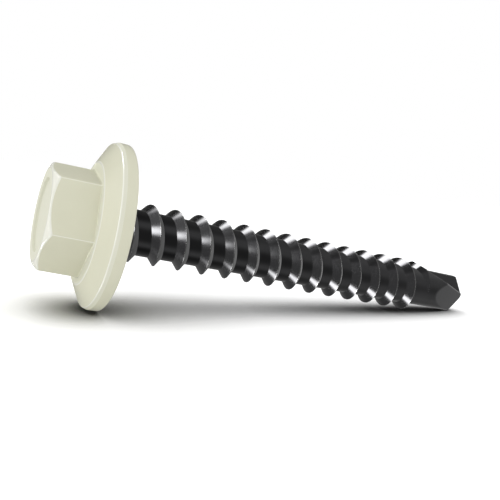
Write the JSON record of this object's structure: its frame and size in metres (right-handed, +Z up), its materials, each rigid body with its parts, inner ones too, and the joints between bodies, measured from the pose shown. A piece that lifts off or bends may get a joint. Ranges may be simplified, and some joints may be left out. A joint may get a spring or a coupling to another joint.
{
  "type": "self drilling screw",
  "caption": "Self drilling screw with a cream painted hexagon head forged on a wide conical flange, a dark coarse threaded shank and a pinch point drill tip.",
  "frame": {"origin": "middle of the screw's box, on the surface that it lies on", "axes": "+X along the screw towards the drill tip, +Z up; the screw's own axis slopes down 7.7 degrees towards +X, because it lies on the flange's rim and the shoulder of the drill point"},
  "size_m": [0.0462, 0.0142, 0.0143],
  "materials": {
    "dark_steel": "satin black oxide",
    "head_paint": "glossy cream powder coat"
  },
  "bodies": {
    "root": {"screw": "dark_steel"}
  },
  "joints": []
}
